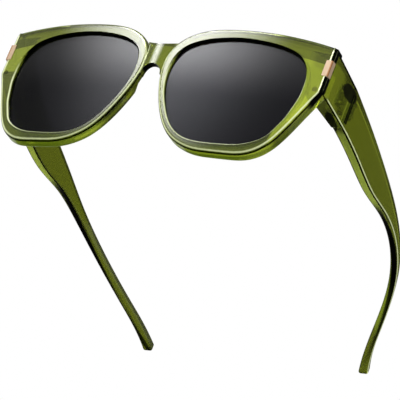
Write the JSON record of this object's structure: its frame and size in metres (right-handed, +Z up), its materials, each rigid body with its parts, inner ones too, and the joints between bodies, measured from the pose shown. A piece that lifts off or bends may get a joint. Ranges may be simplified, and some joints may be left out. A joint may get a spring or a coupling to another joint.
{
  "type": "fitover sunglasses",
  "caption": "Olive translucent fitover sunglasses with large smoke lenses, gold corner trims and two folding temples.",
  "frame": {"origin": "on the table, under the middle of the glasses' outline with both temples open", "axes": "+Z up, -Y out of the front the way the wearer looks, +X towards the temple named right"},
  "size_m": [0.158, 0.1532, 0.058],
  "materials": {
    "olive_plastic": "glossy, translucent",
    "smoke_lens": "polished, dark smoke",
    "gold_trim": "polished pale gold",
    "hinge_metal": "dark satin",
    "screw_steel": "satin"
  },
  "bodies": {
    "front": {"front_frame": "olive_plastic", "lens_right": "smoke_lens", "lens_left": "smoke_lens", "corner_trim_right": "gold_trim", "corner_trim_left": "gold_trim", "hinge_front_leaf_right": "hinge_metal", "hinge_front_leaf_left": "hinge_metal", "hinge_screw_right": "screw_steel", "hinge_screw_left": "screw_steel", "hinge_front_rivet_upper_right": "hinge_metal", "hinge_front_rivet_upper_left": "hinge_metal", "hinge_front_rivet_lower_right": "hinge_metal", "hinge_front_rivet_lower_left": "hinge_metal"},
    "temple_right": {"temple_right": "olive_plastic", "hinge_temple_leaf_right": "hinge_metal", "hinge_temple_rivet_upper_right": "hinge_metal", "hinge_temple_rivet_lower_right": "hinge_metal"},
    "temple_left": {"temple_left": "olive_plastic", "hinge_temple_leaf_left": "hinge_metal", "hinge_temple_rivet_upper_left": "hinge_metal", "hinge_temple_rivet_lower_left": "hinge_metal"}
  },
  "joints": [
    {"name": "fold_right", "type": "hinge", "parent": "front", "child": "temple_right", "pos_m": [0.0705, -0.04911, 0.03028], "axis": [0, -0.0775, 0.997], "range_deg": [0, 90]},
    {"name": "fold_left", "type": "hinge", "parent": "front", "child": "temple_left", "pos_m": [-0.0705, -0.04911, 0.03028], "axis": [0, 0.0775, -0.997], "range_deg": [0, 84]}
  ]
}
